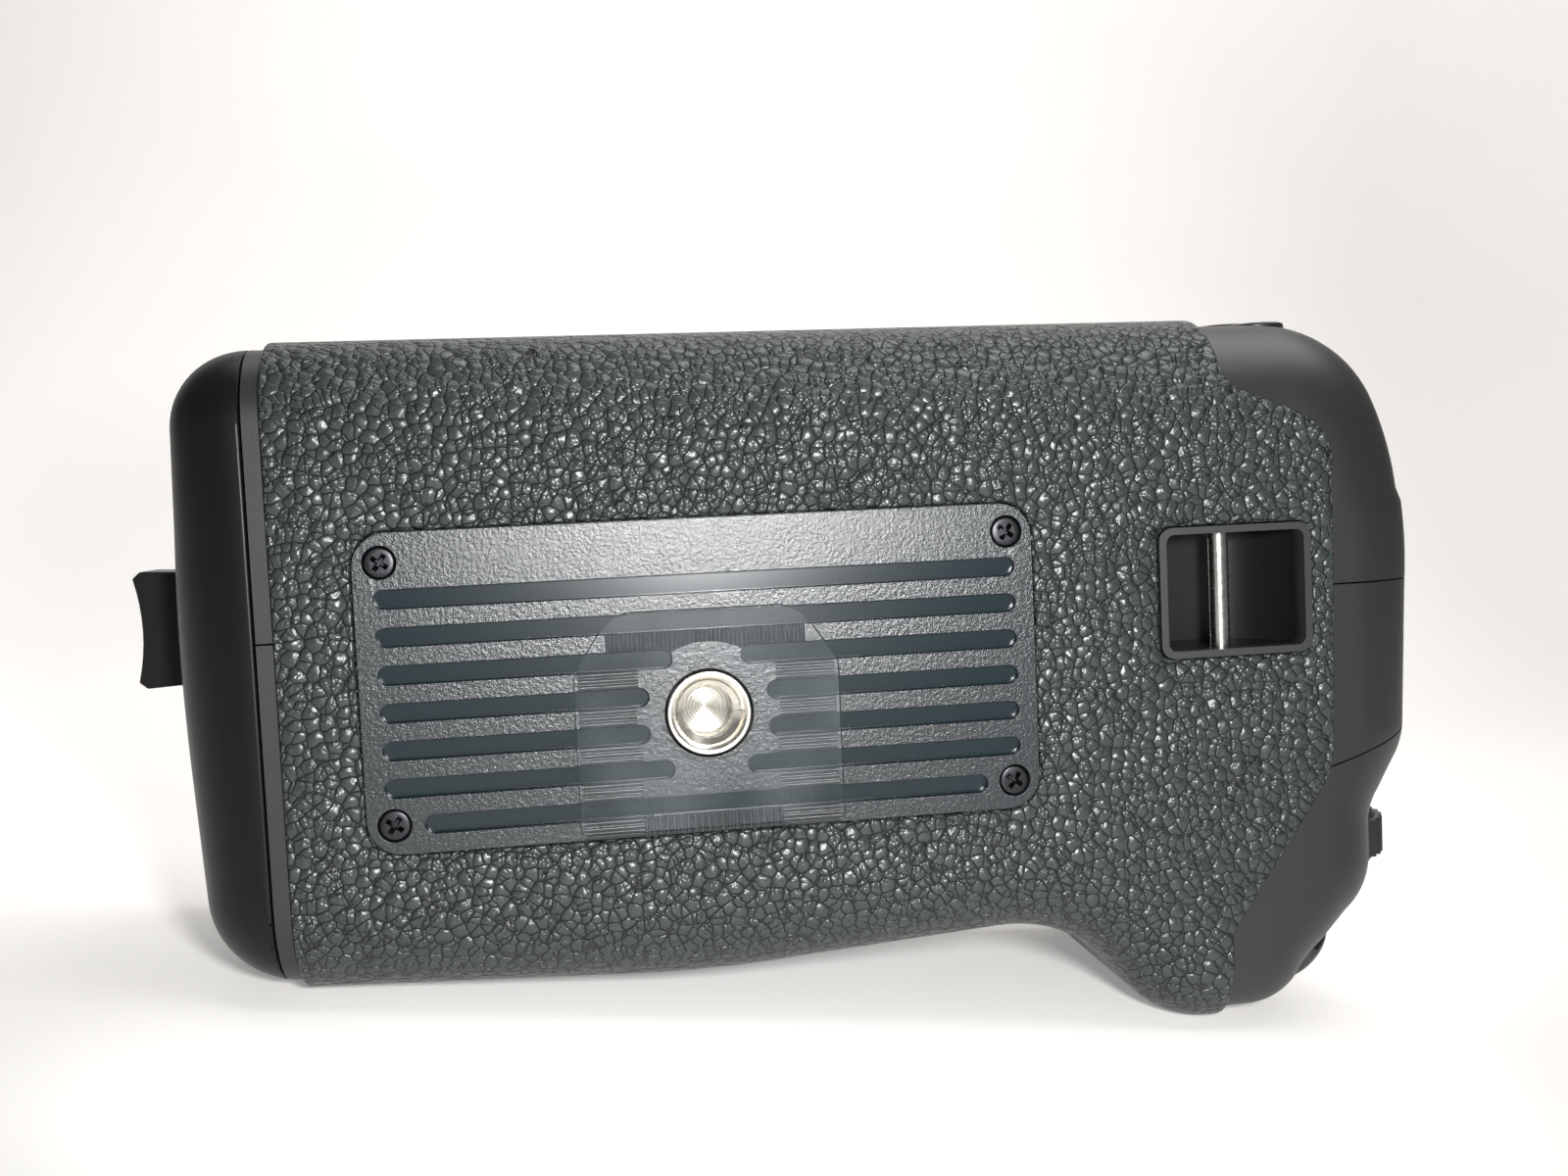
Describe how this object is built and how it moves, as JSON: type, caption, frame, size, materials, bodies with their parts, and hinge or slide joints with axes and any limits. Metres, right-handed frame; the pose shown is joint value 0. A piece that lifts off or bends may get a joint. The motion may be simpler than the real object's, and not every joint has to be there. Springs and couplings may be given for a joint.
{
  "type": "camera battery grip",
  "caption": "Vertical camera grip with a slide-out battery magazine, geared tripod screw, dial, buttons, strap lug and a battery post.",
  "frame": {"origin": "on the axis of the tripod socket, at the plane of the shells' base", "axes": "+X along the grip to the control end, +Y from the base to the camera, +Z from the front face to the rear face, up as it lies"},
  "size_m": [0.1388, 0.1029, 0.0778],
  "materials": {
    "shell_plastic": "fine satin grain",
    "grip_rubber": "pebbled",
    "plate_plastic": "sand-blasted",
    "cap_plastic": "satin",
    "inner_plastic": "plain moulded",
    "control_plastic": "satin",
    "gloss_button": "polished",
    "black_screw": "black oxide",
    "steel": "zinc plated",
    "bright_chrome": "bright plated",
    "gold_contact": "plated",
    "clear_film": "clear film with a fine ribbed edge",
    "circuit_board": "coated",
    "component_plastic": "plain"
  },
  "bodies": {
    "housing": {"rear_shell": "shell_plastic", "front_shell": "shell_plastic", "control_cover": "shell_plastic", "top_deck": "shell_plastic", "battery_post_left": "shell_plastic", "battery_post_right": "shell_plastic", "grip_skin": "grip_rubber", "tripod_plate": "plate_plastic", "strap_bezel": "cap_plastic", "battery_chamber": "inner_plastic", "contact_block": "inner_plastic", "shutter_bracket": "inner_plastic", "plate_screws": "black_screw", "deck_screws": "black_screw", "base_chassis": "steel", "gear_bracket": "steel", "wheel_axle": "steel", "dial_pin": "steel", "locating_pin": "steel", "tripod_socket": "bright_chrome", "strap_bar": "bright_chrome", "post_contacts": "gold_contact", "contact_leaves": "gold_contact", "socket_film": "clear_film", "main_board": "circuit_board", "button_board": "circuit_board", "board_parts": "component_plastic", "shutter_switch": "component_plastic", "dial_encoder": "component_plastic", "button_switches": "component_plastic", "power_switch": "component_plastic"},
    "magazine": {"magazine_tray": "inner_plastic", "magazine_terminals": "gold_contact", "bay_contacts": "gold_contact", "magazine_cap": "cap_plastic", "cap_screws": "black_screw"},
    "handle": {"release_handle": "cap_plastic", "latch_bolt": "steel", "bolt_nut": "steel"},
    "shutter": {"shutter_button": "gloss_button"},
    "dial": {"main_dial": "control_plastic"},
    "lower_button": {"af_point_button": "control_plastic"},
    "middle_button": {"ae_lock_button": "control_plastic"},
    "upper_button": {"af_on_button": "control_plastic"},
    "knob": {"power_knob": "cap_plastic"},
    "wheel": {"attachment_wheel": "control_plastic"},
    "screw": {"camera_screw": "steel", "screw_gear": "gold_contact"}
  },
  "joints": [
    {"name": "magazine_slide", "type": "slide", "parent": "housing", "child": "magazine", "axis": [-1, 0, 0], "range_m": [0, 0.084]},
    {"name": "handle_turn", "type": "hinge", "parent": "magazine", "child": "handle", "pos_m": [-0.05, 0.01995, 0.0102], "axis": [-1, 0, 0], "range_deg": [0, 90]},
    {"name": "shutter_press", "type": "slide", "parent": "housing", "child": "shutter", "axis": [-0.6981, 0, 0.716], "range_m": [0, 0.0012], "stiffness_N_per_m": 600, "springref_m": -0.0004},
    {"name": "dial_turn", "type": "hinge", "parent": "housing", "child": "dial", "pos_m": [0.0706, 0.0135, -0.0203], "axis": [0, 0, 1], "continuous": true},
    {"name": "lower_button_press", "type": "slide", "parent": "housing", "child": "lower_button", "axis": [0, 0, -1], "range_m": [0, 0.0008], "stiffness_N_per_m": 500, "springref_m": -0.0004},
    {"name": "middle_button_press", "type": "slide", "parent": "housing", "child": "middle_button", "axis": [0, 0, -1], "range_m": [0, 0.0008], "stiffness_N_per_m": 500, "springref_m": -0.0004},
    {"name": "upper_button_press", "type": "slide", "parent": "housing", "child": "upper_button", "axis": [0, 0, -1], "range_m": [0, 0.0008], "stiffness_N_per_m": 500, "springref_m": -0.0004},
    {"name": "knob_slide", "type": "slide", "parent": "housing", "child": "knob", "axis": [0, 1, 0], "range_m": [0, 0.0035]},
    {"name": "wheel_turn", "type": "hinge", "parent": "housing", "child": "wheel", "pos_m": [0, 0.034, 0.0225], "axis": [0, 1, 0], "continuous": true},
    {"name": "screw_turn", "type": "hinge", "parent": "housing", "child": "screw", "pos_m": [0, 0.038, 0], "axis": [0, 1, 0], "continuous": true}
  ],
  "couplings": [
    {"joint": "screw_turn", "follows": "wheel_turn", "ratio": -0.875}
  ]
}
